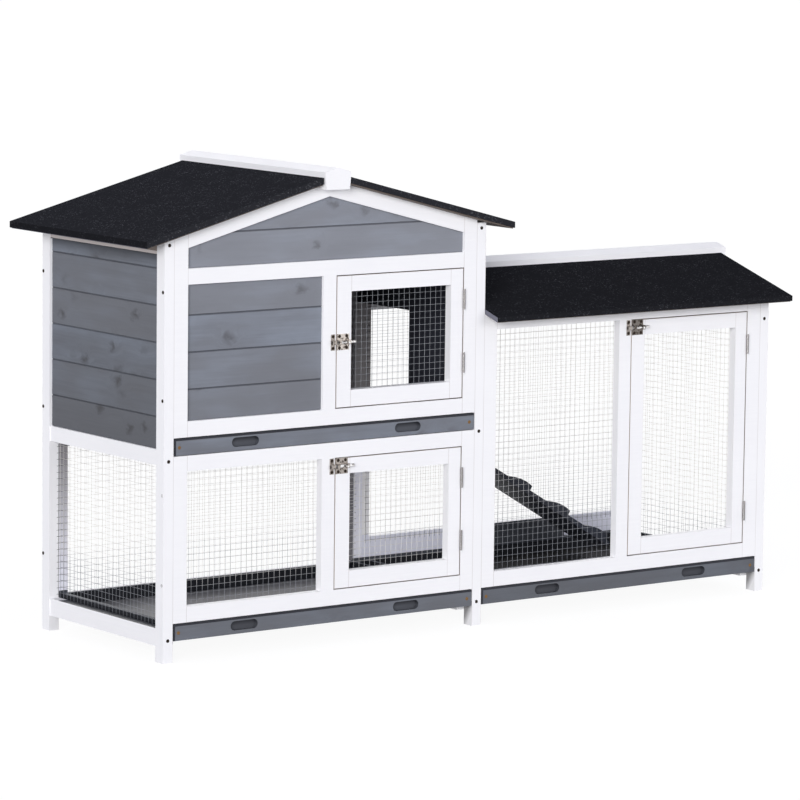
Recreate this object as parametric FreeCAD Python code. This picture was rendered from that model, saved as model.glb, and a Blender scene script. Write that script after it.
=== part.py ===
"""Two-storey wooden guinea pig hutch with a side run.

The house stands on four posts at the left, the run on two more at the right.
While it is built, X runs right from the left posts, Y back from the front posts and Z up from the ground.
Every piece is moved at the end so that the middle of the footprint is the origin.
"""
import FreeCAD, Part
import os
from math import atan, cos, hypot, pi, sin

Vector = FreeCAD.Vector

# Overall sizes, in millimetres
house_width = 752.0
run_length = 738.0
depth = 432.0

# Posts and side rails
post_width = 22.0
post_depth = 26.0
side_rail_recess = 2.0
side_rail_height = 34.0
bottom_rail_level = 30.0
middle_rail_rise = 12.5
wall_plate_height = 30.0

# Front frames, set between the posts
frame_thickness = 17.0
stile_width = 31.0
run_right_stile = 35.0
middle_stile = 30.0
frame_rail = 30.0
run_top_rail = 31.0
house_opening_height = 258.0
run_opening_height = 484.0
back_rail_height = 32.0
run_back_rail = 80.0
run_back_stile = 18.0
back_stile = 20.5

# Doors
door_opening_width = 306.0
run_door_width = 309.0
door_gap = 2.0
door_stile = 34.0
door_hinge_stile = 29.5
door_top_rail = 30.5
door_bottom_rail = 32.5

# Trays
tray_level = 39.5
tray_slot_height = 35.0
tray_front_thickness = 14.0
tray_front_gap = 1.5
tray_side_gap = 4.0
tray_board = 8.0
tray_board_height = 29.5
tray_floor = 4.0
tray_floor_rise = 3.0
tray_back_gap = 4.0
pull_length = 62.0
pull_height = 18.0
pull_depth = 8.0
pull_offset = 191.0
runner_width = 18.0
runner_height = 14.0

# Boards
board_thickness = 10.0
board_recess = 6.0
board_pitch = 70.0
board_chamfer = 1.5
tongue_height = 4.0
tongue_gap = 0.2
front_board_first = 59.5
side_board_first = 61.0
gable_board_first = 64.5

# Doorway between the house and the run
doorway_width = 177.0
doorway_height = 202.0

# House roof: slope is rise over run, and the eave rise is from the gable rail to the underside at the posts
eave_rise = 56.0
roof_slope = 0.26
roof_panel = 11.0
felt = 3.0
felt_reveal = 2.2
eave_overhang = 54.0
gable_overhang = 23.0
back_overhang = 34.0
rafter_height = 31.0
seat_gap = 0.3

# Run roof: its slope runs front to back
run_roof_slope = 0.304
run_roof_panel = 9.5
run_eave_overhang = 44.0
run_end_overhang = 26.0
run_wall_gap = 0.5

# Ridge beams
beam_half_width = 30.5
beam_half_foot = 27.0
beam_shoulder = 11.0
beam_depth = 42.0
beam_front_overhang = 4.0
beam_back_overhang = 10.0
run_beam_overhang = 13.0

# Welded wire mesh
mesh_pitch = 12.7
mesh_wire = 1.0
mesh_lap = 6.0
run_back_lap = 13.0

# Butt hinges
hinge_height = 40.0
hinge_leaf = 0.8
hinge_leaf_depth = 14.0
knuckle_radius = 2.6
pin_radius = 1.2
pin_clearance = 0.04
knuckle_gap = 0.3
hinge_inset = 42.0
hinge_foot_inset = 51.0
run_hinge_inset = 48.0

# Barrel bolts
bolt_radius = 3.0
bolt_clearance = 0.1
bolt_length = 40.5
bolt_throw = 11.5
bolt_plate = 1.2
plate_height = 31.0
strap_width = 6.0
strap_wall = 1.2
keeper_length = 9.0
keeper_setback = 3.0
knob_radius = 2.2
knob_length = 8.0
latch_drop = 16.5

# Ramp
ramp_width = 116.0
ramp_board = 9.0
ramp_slope = 0.5914
ramp_foot_gap = 2.2
ramp_hinge_drop = 4.0
tread_pitch = 118.0
tread_length = 65.5
tread_height = 9.9
tread_crown = 11.4
tread_first = 73.5

# Places worked out from the sizes above
house_right = house_width - post_width
run_right = house_width + run_length
run_post = run_right - post_width
back_face = depth - post_depth
frame_base = tray_level + tray_slot_height
opening_base = frame_base + frame_rail
lower_opening_top = opening_base + house_opening_height
lower_frame_top = lower_opening_top + frame_rail
upper_tray_level = lower_frame_top
upper_frame_base = upper_tray_level + tray_slot_height
upper_opening_base = upper_frame_base + frame_rail
upper_opening_top = upper_opening_base + house_opening_height
gable_base = upper_opening_top + frame_rail
eave_height = gable_base + eave_rise
middle_rail_top = upper_tray_level + middle_rail_rise
tray_top = tray_level + tray_front_gap + tray_floor_rise + tray_board_height
run_opening_top = opening_base + run_opening_height
run_eave = run_opening_top + run_top_rail
run_back_rail_top = tray_level + run_back_rail
door_right = house_right - stile_width
door_left = door_right - door_opening_width
window_right = door_left - middle_stile
window_left = post_width + stile_width
run_door_right = run_post - run_right_stile
run_door_left = run_door_right - run_door_width
run_window_right = run_door_left - middle_stile
run_window_left = house_width + stile_width
run_back_window = (house_width + run_back_stile, run_post - run_back_stile)
house_middle = house_width / 2
run_ridge = depth / 2
wall_plate_base = eave_height - wall_plate_height
middle_rail_base = middle_rail_top - wall_plate_height
doorway = (back_face - doorway_width, back_face)
ramp_axis = Vector(house_width - side_rail_recess + knuckle_radius + knuckle_gap,
                   (doorway[0] + doorway[1] - ramp_width) / 2, middle_rail_top - ramp_hinge_drop)
ramp_tilt = atan(ramp_slope)
ramp_drop = ramp_axis.z - tray_top - ramp_foot_gap - (hinge_leaf / 2 + ramp_board) * cos(ramp_tilt)
ramp_length = ramp_drop / sin(ramp_tilt)
run_beam_end = run_right + run_end_overhang + run_beam_overhang
shift = Vector((eave_overhang - run_beam_end) / 2, -depth / 2, 0)


def box(x, y, z):
    """A block between the low and high limits given on each axis."""
    return Part.makeBox(x[1] - x[0], y[1] - y[0], z[1] - z[0], Vector(x[0], y[0], z[0]))


def point(along, a, b, c):
    """The point whose place along one axis is c and whose other two coordinates are a and b, in order."""
    return {"x": Vector(c, a, b), "y": Vector(a, c, b), "z": Vector(a, b, c)}[along]


def prism(corners, along, span):
    """A flat outline, drawn across one axis, pushed along that axis from the low limit to the high one."""
    ring = [point(along, a, b, span[0]) for a, b in corners]
    face = Part.Face(Part.makePolygon(ring + ring[:1]))
    return face.extrude(point(along, 0, 0, span[1] - span[0]))


def rod(start, direction, radius, length):
    """A round bar from a start point."""
    return Part.makeCylinder(radius, length, start, direction)


def rolled(axis, along, radius, span):
    """A bar of rolled sheet metal with twelve flats, each at the radius given from its axis."""
    sides = 12
    corner = radius / cos(pi / sides)
    turns = [2 * pi * count / sides for count in range(sides)]
    corners = [(axis[0] + corner * cos(turn), axis[1] + corner * sin(turn)) for turn in turns]
    return prism(corners, along, span)


def save(name, solids):
    """Write one node, moved so that the middle of the footprint is the origin."""
    whole = Part.makeCompound(solids)
    whole.translate(shift)
    whole.exportStep("parts/" + name + ".step")


def roof_underside(x):
    """Height of the house roof's underside above a place between the posts' outer faces."""
    return eave_height + roof_slope * min(x, house_width - x)


def run_underside(y):
    """Height of the run roof's underside above a place between the front and back faces."""
    return run_eave + run_roof_slope * min(y, depth - y)


def post(x, y, top):
    """A square upright from the ground."""
    return box((x, x + post_width), (y, y + post_depth), (0, top))


def front_frame(outer, inner, mullion, z, opening):
    """A front frame: stiles at full height, rails between them and a middle stile beside the door."""
    y = (0, frame_thickness)
    stiles = [box((outer[0], inner[0]), y, z), box((inner[1], outer[1]), y, z), box(mullion, y, opening)]
    return stiles + [box(inner, y, (z[0], opening[0])), box(inner, y, (opening[1], z[1]))]


def board_profile(base, top, grooved, tongued):
    """Section of one tongued board: depth from its outer face, then height."""
    third = board_thickness / 3
    outline = [(board_chamfer, base), (0, base + board_chamfer)]
    outline += [(0, top - board_chamfer), (board_chamfer, top)]
    if tongued:
        tip = top + tongue_height - tongue_gap
        outline += [(third, top), (third, tip), (2 * third, tip), (2 * third, top)]
    outline += [(board_thickness, top), (board_thickness, base)]
    if grooved:
        roof = base + tongue_height
        near = third - tongue_gap
        far = board_thickness - near
        outline += [(far, base), (far, roof), (near, roof), (near, base)]
    return outline


def boarding(face, inward, along, span, z, first):
    """A wall of tongued boards between two heights: face is the outer plane, inward its sign."""
    boards = []
    base = z[0]
    top = min(base + first, z[1])
    while base < z[1]:
        outline = board_profile(base, top, base > z[0], top < z[1])
        placed = [(face + inward * deep, high) for deep, high in outline]
        boards.append(prism(placed, along, span))
        base, top = top, min(top + board_pitch, z[1])
    return boards


def mesh(face, inward, along, span, z):
    """Welded mesh on a plane: upright wires against the frame, level wires over them."""
    wires = []
    near = (face, face + inward * mesh_wire)
    far = (near[1], near[1] + inward * mesh_wire)

    def wire(layer, run, rise):
        layer = sorted(layer)
        if along == "x":
            return box(run, layer, rise)
        return box(layer, run, rise)

    uprights = int((span[1] - span[0] - mesh_wire) / mesh_pitch)
    levels = int((z[1] - z[0] - mesh_wire) / mesh_pitch)
    side_margin = (span[1] - span[0] - mesh_wire - uprights * mesh_pitch) / 2
    end_margin = (z[1] - z[0] - mesh_wire - levels * mesh_pitch) / 2
    for count in range(uprights + 1):
        start = span[0] + side_margin + count * mesh_pitch
        wires.append(wire(near, (start, start + mesh_wire), z))
    for count in range(levels + 1):
        start = z[0] + end_margin + count * mesh_pitch
        wires.append(wire(far, span, (start, start + mesh_wire)))
    return wires


def lapped(span, lap=mesh_lap):
    """An opening's limits widened by the lap of the mesh on its frame."""
    return (span[0] - lap, span[1] + lap)


def beam_outline(middle, side_height, slope):
    """Section of a ridge beam: tapered sides and a gabled top that follows the roof."""
    shoulder = side_height + beam_shoulder
    peak = shoulder + slope * beam_half_width
    foot = peak - beam_depth
    return [(middle - beam_half_foot, foot), (middle + beam_half_foot, foot),
            (middle + beam_half_width, shoulder), (middle, peak), (middle - beam_half_width, shoulder)]


def ridge_beam():
    """The house's ridge beam, front to back."""
    top = roof_underside(house_middle - beam_half_width) + (roof_panel + felt) * hypot(1, roof_slope)
    span = (-gable_overhang - beam_front_overhang, depth + back_overhang + beam_back_overhang)
    return prism(beam_outline(house_middle, top, roof_slope), "y", span)


def run_ridge_beam():
    """The run's ridge beam, from the house wall to just past the run's far end."""
    top = run_underside(run_ridge - beam_half_width) + (run_roof_panel + felt) * hypot(1, run_roof_slope)
    wall = house_width - board_recess + run_wall_gap
    return prism(beam_outline(run_ridge, top, run_roof_slope), "x", (wall, run_beam_end))


def sloped(low, high, height, slope, thick):
    """Section of a sloping panel with plumb ends: place across the slope, then height."""
    top = height + slope * (high - low)
    plumb = thick * hypot(1, slope)
    return [(low, height), (high, top), (high, top + plumb), (low, height + plumb)]


def mirrored(outline, middle):
    """The same outline on the other side of a middle line."""
    return [(2 * middle - across, high) for across, high in outline]


def felted(board, cover, along, span, folds):
    """One slope of a roof: its board, and the felt folded over the eave and, if asked, over the ends."""
    panel = prism(board, along, (span[0] + folds[0], span[1] - folds[1]))
    return panel, prism(cover, along, span).cut(panel)


def roofing(low, middle, height, slope, panel, along, span, folds):
    """Both slopes of a roof, from an eave to the ridge beam: the boards, then the felts.

    The folds stop short of the underside, so the boards' lower edges show.
    """
    high = middle - beam_half_width - seat_gap
    board = sloped(low + felt, high, height + slope * felt, slope, panel)
    cover = sloped(low, high, height + felt_reveal * hypot(1, slope), slope, panel + felt - felt_reveal)
    first = felted(board, cover, along, span, folds)
    second = felted(mirrored(board, middle), mirrored(cover, middle), along, span, folds)
    return [first[0], second[0]], [first[1], second[1]]


def house_roof():
    """Boards and felts of the house roof."""
    eave = eave_height - roof_slope * eave_overhang + seat_gap
    span = (-gable_overhang, depth + back_overhang)
    return roofing(-eave_overhang, house_middle, eave, roof_slope, roof_panel, "y", span, (felt, felt))


def run_roof():
    """Boards and felts of the run roof, with no fold at the end against the house."""
    eave = run_eave - run_roof_slope * run_eave_overhang + seat_gap
    span = (house_width + run_wall_gap, run_right + run_end_overhang)
    return roofing(-run_eave_overhang, run_ridge, eave, run_roof_slope, run_roof_panel, "x", span, (0, felt))


def house_rafters(beam):
    """Mitred rafters of both gables, notched for the ridge beam."""
    pieces = []
    low = roof_underside(post_width)
    high = roof_underside(house_middle)
    left = [(post_width, low - rafter_height), (post_width, low), (house_middle, high),
            (house_middle, high - rafter_height)]
    for y in ((0, frame_thickness), (depth - frame_thickness, depth)):
        pieces += [prism(outline, "y", y).cut(beam) for outline in (left, mirrored(left, house_middle))]
    return pieces


def gable_field(y):
    """The space between the gable rail and the rafters, inside the outer stiles."""
    left = window_left
    right = house_width - window_left
    low = roof_underside(left) - rafter_height
    high = roof_underside(house_middle) - rafter_height
    corners = [(left, gable_base), (right, gable_base), (right, low), (house_middle, high), (left, low)]
    return prism(corners, "y", y)


def gable_boards(face, inward, y):
    """Boards of one gable, cut to the rafters."""
    top = roof_underside(house_middle) - rafter_height
    between = (window_left, house_width - window_left)
    boards = boarding(face, inward, "x", between, (gable_base, top), gable_board_first)
    field = gable_field(y)
    return [board.common(field) for board in boards]


def upper_frame(y, mullion):
    """The upper storey's front or back frame, whose stiles run up to the rafters."""
    pieces = []
    stile = [(post_width, upper_frame_base), (window_left, upper_frame_base),
             (window_left, roof_underside(window_left) - rafter_height),
             (post_width, roof_underside(post_width) - rafter_height)]
    pieces += [prism(stile, "y", y), prism(mirrored(stile, house_middle), "y", y)]
    between = (window_left, house_width - window_left)
    pieces += [box(between, y, (upper_frame_base, upper_opening_base)),
               box(between, y, (upper_opening_top, gable_base))]
    if mullion:
        pieces.append(box((window_right, door_left), y, (upper_opening_base, upper_opening_top)))
    return pieces


def side_rail(x, base, height):
    """A rail between a front and a back post, flush with their inner faces."""
    return box(x, (post_depth, back_face), (base, base + height))


def side_rails(x):
    """The three rails of a house side: under the eave, at the upper floor and at the ground."""
    upper = [side_rail(x, base, wall_plate_height) for base in (wall_plate_base, middle_rail_base)]
    return upper + [side_rail(x, bottom_rail_level, side_rail_height)]


def side_boards(face, inward):
    """Boards of a house side, between its upper rails."""
    y = (post_depth, back_face)
    return boarding(face, inward, "y", y, (middle_rail_top, wall_plate_base), side_board_first)


def right_boards():
    """Boards of the side towards the run, with the doorway cut out beside the back post."""
    hole = box((house_right, house_width), doorway, (middle_rail_top, middle_rail_top + doorway_height))
    pieces = []
    for board in side_boards(house_width - board_recess, -1):
        pieces += board.cut(hole).Solids
    return pieces


def lower_back():
    """Rails of the house's lower back, between the posts, and a narrow stile beside the left post."""
    y = (back_face, back_face + frame_thickness)
    x = (post_width, house_right)
    between = (tray_level + back_rail_height, lower_opening_top)
    rails = [box(x, y, (tray_level, between[0])), box(x, y, (between[1], lower_frame_top))]
    return rails + [box((post_width, post_width + back_stile), y, between)]


def run_back_frame():
    """The run's back frame: stiles, a deep bottom rail and a top rail under the eave."""
    y = (back_face, back_face + frame_thickness)
    left, right = house_width, run_post
    z = (tray_level, run_eave)
    between = run_back_window
    pieces = [box((left, between[0]), y, z), box((between[1], right), y, z)]
    return pieces + [box(between, y, (z[0], run_back_rail_top)), box(between, y, (run_opening_top, z[1]))]


def run_end_rails():
    """Rails of the run's far end, at the ground and under the gable."""
    x = (run_post, run_right - side_rail_recess)
    return [side_rail(x, bottom_rail_level, side_rail_height), side_rail(x, run_opening_top, run_top_rail)]


def run_gable(x, beam):
    """A gable board of the run, cut to the roof and notched for the ridge beam."""
    corners = [(post_depth, run_eave), (back_face, run_eave), (back_face, run_underside(back_face)),
               (run_ridge, run_underside(run_ridge)), (post_depth, run_underside(post_depth))]
    return prism(corners, "x", x).cut(beam)


def tray(left, right, level):
    """A slide-out tray: its front with two finger pulls, then its pan of boards and floor."""
    middle = (left + right) / 2
    z = (level + tray_front_gap, level + tray_slot_height - tray_front_gap)
    front = box((left + tray_front_gap, right - tray_front_gap), (0, tray_front_thickness), z)
    for side in (-1, 1):
        front = front.cut(finger_pull(middle + side * pull_offset, (z[0] + z[1]) / 2))
    x = (left + tray_side_gap, right - tray_side_gap)
    y = (tray_front_thickness, back_face - tray_back_gap)
    base = z[0] + tray_floor_rise
    sides = (base, base + tray_board_height)
    pan = [box((x[0], x[0] + tray_board), y, sides), box((x[1] - tray_board, x[1]), y, sides),
           box((x[0] + tray_board, x[1] - tray_board), (y[1] - tray_board, y[1]), sides),
           box((x[0] + tray_board, x[1] - tray_board), (y[0], y[1] - tray_board), (base, base + tray_floor))]
    return [front], pan


def finger_pull(x, z):
    """The round-ended pocket of one finger pull, cut part of the way into the tray front."""
    radius = pull_height / 2
    half = pull_length / 2 - radius
    pocket = box((x - half, x + half), (0, pull_depth), (z - radius, z + radius))
    for side in (-half, half):
        pocket = pocket.fuse(rod(Vector(x + side, 0, z), Vector(0, 1, 0), radius, pull_depth))
    return pocket


def tray_runners():
    """Cleats on the side rails that carry the three trays."""
    pieces = []
    lift = tray_front_gap + tray_floor_rise
    for level, faces in ((tray_level, (post_width, house_right - runner_width)),
                         (upper_tray_level, (post_width, house_right - runner_width)),
                         (tray_level, (house_width - side_rail_recess, run_post - runner_width))):
        top = level + lift
        for x in faces:
            pieces.append(side_rail((x, x + runner_width), top - runner_height, runner_height))
    return pieces


def leaf_strip(axis, heading, offset, near, far):
    """Corners of a stretch of hinge leaf, between two distances out from the pin along a heading."""
    corners = []
    outer = offset + hinge_leaf
    for reach, side in ((near, offset), (far, offset), (far, outer), (near, outer)):
        across = axis[0] + heading[0] * reach + heading[1] * side
        corners.append((across, axis[1] + heading[1] * reach - heading[0] * side))
    return corners


def knuckled(axis, along, whole, spans, leaf):
    """A hinge leaf over the whole hinge, joined to rolled knuckles over some spans of it."""
    clear = knuckle_radius + knuckle_gap
    solid = prism(leaf_strip(axis, *leaf, clear, hinge_leaf_depth), along, whole)
    for span in spans:
        tab = prism(leaf_strip(axis, *leaf, 0, clear), along, span)
        solid = solid.fuse([tab, rolled(axis, along, knuckle_radius, span)])
    return solid


def hinge(axis, along, foot, fixed, moving):
    """A butt hinge: fixed leaf with end knuckles and pin, then moving leaf with the middle knuckle."""
    third = hinge_height / 3
    whole = (foot, foot + hinge_height)
    ends = [(foot, foot + third), (foot + 2 * third, foot + hinge_height)]
    middle = (foot + third + knuckle_gap, foot + 2 * third - knuckle_gap)
    pin = rod(point(along, *axis, foot), point(along, 0, 0, 1), pin_radius, hinge_height)
    bore = rolled(axis, along, pin_radius + pin_clearance, middle)
    fixed_leaf = knuckled(axis, along, whole, ends, fixed).fuse(pin)
    moving_leaf = knuckled(axis, along, whole, [middle], moving).cut(bore)
    return fixed_leaf.removeSplitter(), moving_leaf.removeSplitter()


def door(left, right, base, top):
    """A mesh door's frame: stiles at full height with rails between."""
    x = (left + door_gap, right - door_gap)
    z = (base + door_gap, top - door_gap)
    y = (0, frame_thickness)
    inner = (x[0] + door_stile, x[1] - door_hinge_stile)
    window = (z[0] + door_bottom_rail, z[1] - door_top_rail)
    frame = [box((x[0], inner[0]), y, z), box((inner[1], x[1]), y, z),
             box(inner, y, (z[0], window[0])), box(inner, y, (window[1], z[1]))]
    return frame, mesh(frame_thickness, 1, "x", lapped(inner), lapped(window))


def door_hinges(right, base, top, insets):
    """The two butt hinges in the gap at a door's right edge: fixed leaves, then moving leaves."""
    axis = (right - door_gap / 2, -knuckle_radius - knuckle_gap)
    inward = (0, 1)
    fixed = (inward, door_gap / 2 - hinge_leaf)
    moving = (inward, -door_gap / 2)
    feet = (base + insets[0], top - insets[1] - hinge_height)
    return zip(*[hinge(axis, "z", foot, fixed, moving) for foot in feet])


def strap(x, z, width):
    """A strap folded square over the bolt, its outer edges eased and its two feet on the plate."""
    inner = bolt_radius + bolt_clearance
    outer = inner + strap_wall
    ease = strap_wall / 2
    roof = -bolt_plate - 2 * inner
    front = roof - strap_wall
    upper = [(-bolt_plate, inner), (-bolt_plate, outer), (front + ease, outer), (front, outer - ease)]
    lower = [(across, -high) for across, high in reversed(upper)]
    outline = upper + lower + [(roof, -inner), (roof, inner)]
    return prism([(across, z + high) for across, high in outline], "x", (x, x + width))


def latch(left, z):
    """A barrel bolt drawn back from its keeper: plate with straps, bolt with knob, and the keeper."""
    right = Vector(1, 0, 0)
    rise = (z - plate_height / 2, z + plate_height / 2)
    inner = bolt_radius + bolt_clearance
    axis = -bolt_plate - inner
    edge = left + door_gap
    plate_x = (edge, edge + 2 * (strap_width + knob_radius + bolt_clearance) + bolt_throw)
    plate = box(plate_x, (-bolt_plate, 0), rise)
    for start in (plate_x[0], plate_x[1] - strap_width):
        plate = plate.fuse(strap(start, z, strap_width))
    bolt = rod(Vector(edge, axis, z), right, bolt_radius, bolt_length)
    knob = Vector(plate_x[1] - strap_width - knob_radius - bolt_clearance, axis, z)
    bolt = bolt.fuse(rod(knob, Vector(0, -1, 0), knob_radius, bolt_radius + knob_length))
    keeper_x = (left - keeper_setback - keeper_length, left - keeper_setback)
    keeper = box(keeper_x, (-bolt_plate, 0), rise).fuse(strap(keeper_x[0], z, keeper_length))
    return plate.removeSplitter(), bolt.removeSplitter(), keeper.removeSplitter()


def ramp_point(along, above):
    """A place on the ramp's near edge: distance down its slope and height above the hinge pin's plane."""
    x = ramp_axis.x + along * cos(ramp_tilt) + above * sin(ramp_tilt)
    z = ramp_axis.z - along * sin(ramp_tilt) + above * cos(ramp_tilt)
    return Vector(x, ramp_axis.y, z)


def ramp():
    """The sloping board, cut plumb at its head, with rounded wedge treads."""
    across = Vector(0, ramp_width, 0)
    top = -hinge_leaf / 2
    head = knuckle_radius + knuckle_gap
    corners = [ramp_point(head, top), ramp_point(ramp_length, top), ramp_point(ramp_length, top - ramp_board),
               ramp_point(head + ramp_board * ramp_slope, top - ramp_board)]
    solid = Part.Face(Part.makePolygon(corners + corners[:1])).extrude(across)
    nose = tread_first + tread_length
    while nose <= ramp_length:
        heel = ramp_point(nose - tread_length, top)
        tip = ramp_point(nose, top + tread_height)
        crown = ramp_point(nose - tread_length / 3, top + tread_crown)
        back = Part.Arc(heel, crown, tip).toShape()
        base = Part.makePolygon([tip, ramp_point(nose, top), heel])
        solid = solid.fuse(Part.Face(Part.Wire([back] + base.Edges)).extrude(across))
        nose += tread_pitch
    return solid.removeSplitter()


def ramp_hinge():
    """The butt hinge between the upper floor's rail and the head of the ramp: fixed, then moving leaf."""
    axis = (ramp_axis.x, ramp_axis.z)
    fixed = ((0, -1), knuckle_radius + knuckle_gap - hinge_leaf)
    moving = ((cos(ramp_tilt), -sin(ramp_tilt)), -hinge_leaf / 2)
    return hinge(axis, "y", ramp_axis.y + (ramp_width - hinge_height) / 2, fixed, moving)


os.makedirs("parts", exist_ok=True)

# Posts
front_top = roof_underside(0)
run_post_top = run_underside(0)
save("front_left_post", [post(0, 0, front_top)])
save("front_middle_post", [post(house_right, 0, front_top)])
save("front_right_post", [post(run_post, 0, run_post_top)])
save("back_left_post", [post(0, back_face, front_top)])
save("back_middle_post", [post(house_right, back_face, front_top)])
save("back_right_post", [post(run_post, back_face, run_post_top)])

# House front and back
front = (0, frame_thickness)
back = (depth - frame_thickness, depth)
beam = ridge_beam()
back_board_face = depth - board_recess
window_boards = (upper_opening_base, upper_opening_top)
save("upper_front_frame", upper_frame(front, True))
save("front_wall_boards", boarding(board_recess, 1, "x", (window_left, window_right), window_boards,
                                   front_board_first))
save("front_gable_boards", gable_boards(board_recess, 1, front))
save("house_rafters", house_rafters(beam))
save("lower_front_frame", front_frame((post_width, house_right), (window_left, door_right),
                                      (window_right, door_left), (frame_base, lower_frame_top),
                                      (opening_base, lower_opening_top)))
save("lower_front_mesh", mesh(frame_thickness, 1, "x", lapped((window_left, window_right)),
                              lapped((opening_base, lower_opening_top))))
save("back_wall_frame", upper_frame(back, False) + lower_back())
back_boards = boarding(back_board_face, -1, "x", (window_left, house_width - window_left), window_boards,
                       front_board_first)
save("back_wall_boards", back_boards + gable_boards(back_board_face, -1, back))
save("lower_back_mesh", mesh(back_face, -1, "x", lapped((post_width, house_right)),
                             lapped((tray_level + back_rail_height, lower_opening_top))))

# House sides
left_rails = (side_rail_recess, post_width)
right_rails = (house_right, house_width - side_rail_recess)
save("left_wall_rails", side_rails(left_rails))
save("left_wall_boards", side_boards(board_recess, 1))
side_mesh_span = (frame_thickness + 2 * mesh_wire, back_face - 2 * mesh_wire - seat_gap)
save("left_wall_mesh", mesh(post_width, 1, "y", side_mesh_span,
                            lapped((bottom_rail_level + side_rail_height, middle_rail_base))))
save("right_wall_rails", side_rails(right_rails))
save("right_wall_boards", right_boards())

# Run
run_beam = run_ridge_beam()
run_end_x = (run_post, run_right - board_recess)
save("run_front_frame", front_frame((house_width, run_post), (run_window_left, run_door_right),
                                    (run_window_right, run_door_left), (frame_base, run_eave),
                                    (opening_base, run_opening_top)))
save("run_front_mesh", mesh(frame_thickness, 1, "x", lapped((run_window_left, run_window_right)),
                            lapped((opening_base, run_opening_top))))
save("run_back_frame", run_back_frame())
save("run_back_mesh", mesh(back_face, -1, "x", lapped(run_back_window, run_back_lap),
                           lapped((run_back_rail_top, run_opening_top), run_back_lap)))
save("run_end_rails", run_end_rails())
save("run_end_mesh", mesh(run_post, -1, "y", side_mesh_span,
                          lapped((bottom_rail_level + side_rail_height, run_opening_top))))
save("run_end_gable", [run_gable(run_end_x, run_beam)])

# Roofs
panels, felts = house_roof()
save("left_roof_panel", panels[:1])
save("right_roof_panel", panels[1:])
save("house_roof_felt", felts)
save("ridge_beam", [beam])
panels, felts = run_roof()
save("run_front_roof_panel", panels[:1])
save("run_back_roof_panel", panels[1:])
save("run_roof_felt", felts)
save("run_ridge_beam", [run_beam])

# Trays
save("tray_runners", tray_runners())
for name, left, right, level in (("upper_tray", post_width, house_right, upper_tray_level),
                                 ("lower_tray", post_width, house_right, tray_level),
                                 ("run_tray", house_width, run_post, tray_level)):
    tray_front, pan = tray(left, right, level)
    save(name + "_front", tray_front)
    save(name + "_pan", pan)

# Doors, hinges and latches
upper_latch = (upper_opening_base + upper_opening_top) / 2
lower_latch = lower_opening_top - latch_drop
run_latch = run_opening_top - latch_drop
house_door = (door_left, door_right)
run_door = (run_door_left, run_door_right)
house_insets = (hinge_foot_inset, hinge_inset)
run_insets = (run_hinge_inset, run_hinge_inset)
ramp_fixed_leaf, ramp_leaf = ramp_hinge()
fixed_leaves = [ramp_fixed_leaf]
keepers = []
for name, sides, heights, insets, latch_height in (
        ("upper_door", house_door, (upper_opening_base, upper_opening_top), house_insets, upper_latch),
        ("lower_door", house_door, (opening_base, lower_opening_top), house_insets, lower_latch),
        ("run_door", run_door, (opening_base, run_opening_top), run_insets, run_latch)):
    frame, wires = door(*sides, *heights)
    fixed, moving = door_hinges(sides[1], *heights, insets)
    plate, bolt, keeper = latch(sides[0], latch_height)
    fixed_leaves += fixed
    keepers.append(keeper)
    save(name + "_frame", frame)
    save(name + "_mesh", wires)
    save(name + "_hardware", [*moving, plate])
    save(name + "_bolt", [bolt])
save("fixed_hinge_leaves", fixed_leaves)
save("latch_keepers", keepers)

# Ramp
save("ramp", [ramp()])
save("ramp_hinge_leaf", [ramp_leaf])
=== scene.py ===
from math import pi

import bpy
import numpy as np
from mathutils import Matrix, Vector


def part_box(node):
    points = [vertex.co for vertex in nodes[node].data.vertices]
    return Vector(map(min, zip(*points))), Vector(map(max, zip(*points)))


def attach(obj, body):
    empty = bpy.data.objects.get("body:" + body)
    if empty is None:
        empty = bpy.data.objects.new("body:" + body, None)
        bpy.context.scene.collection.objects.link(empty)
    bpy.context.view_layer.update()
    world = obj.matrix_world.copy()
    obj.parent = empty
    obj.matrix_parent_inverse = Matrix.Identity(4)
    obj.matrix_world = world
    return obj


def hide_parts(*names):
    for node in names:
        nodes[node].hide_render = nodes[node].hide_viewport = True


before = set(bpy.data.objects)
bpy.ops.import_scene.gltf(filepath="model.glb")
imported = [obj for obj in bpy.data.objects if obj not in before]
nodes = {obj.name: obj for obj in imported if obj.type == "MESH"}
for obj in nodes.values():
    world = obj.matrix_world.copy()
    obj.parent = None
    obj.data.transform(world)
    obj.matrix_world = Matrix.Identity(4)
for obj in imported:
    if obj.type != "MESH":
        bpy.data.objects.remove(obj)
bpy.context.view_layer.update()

# Camera: a long lens at the height of a standing person, in front and to the left of the house.
# It is turned a little about its own axis, as the picture's uprights lean that way. Here and below, lengths
# are in metres unless a name says otherwise, and rates are per metre.
CAMERA_PLACE = (-5.1365, -6.9444, 1.5690)
CAMERA_RIGHT = (0.80659, -0.59100, 0.01185)
CAMERA_UP = (0.06804, 0.11274, 0.99129)
CAMERA_BACK = (-0.58718, -0.79876, 0.13115)
LENS_MM = 195.07
SENSOR_MM = 36.0
SIGHT_END = 100.0

lens = bpy.data.cameras.new("camera")
lens.lens = LENS_MM
lens.sensor_width = SENSOR_MM
lens.clip_end = SIGHT_END
camera = bpy.data.objects.new("camera", lens)
bpy.context.collection.objects.link(camera)
turn = Matrix((CAMERA_RIGHT, CAMERA_UP, CAMERA_BACK)).transposed().to_4x4()
camera.matrix_world = Matrix.Translation(CAMERA_PLACE) @ turn
bpy.context.scene.camera = camera
bpy.context.scene.view_settings.view_transform = "Standard"


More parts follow.
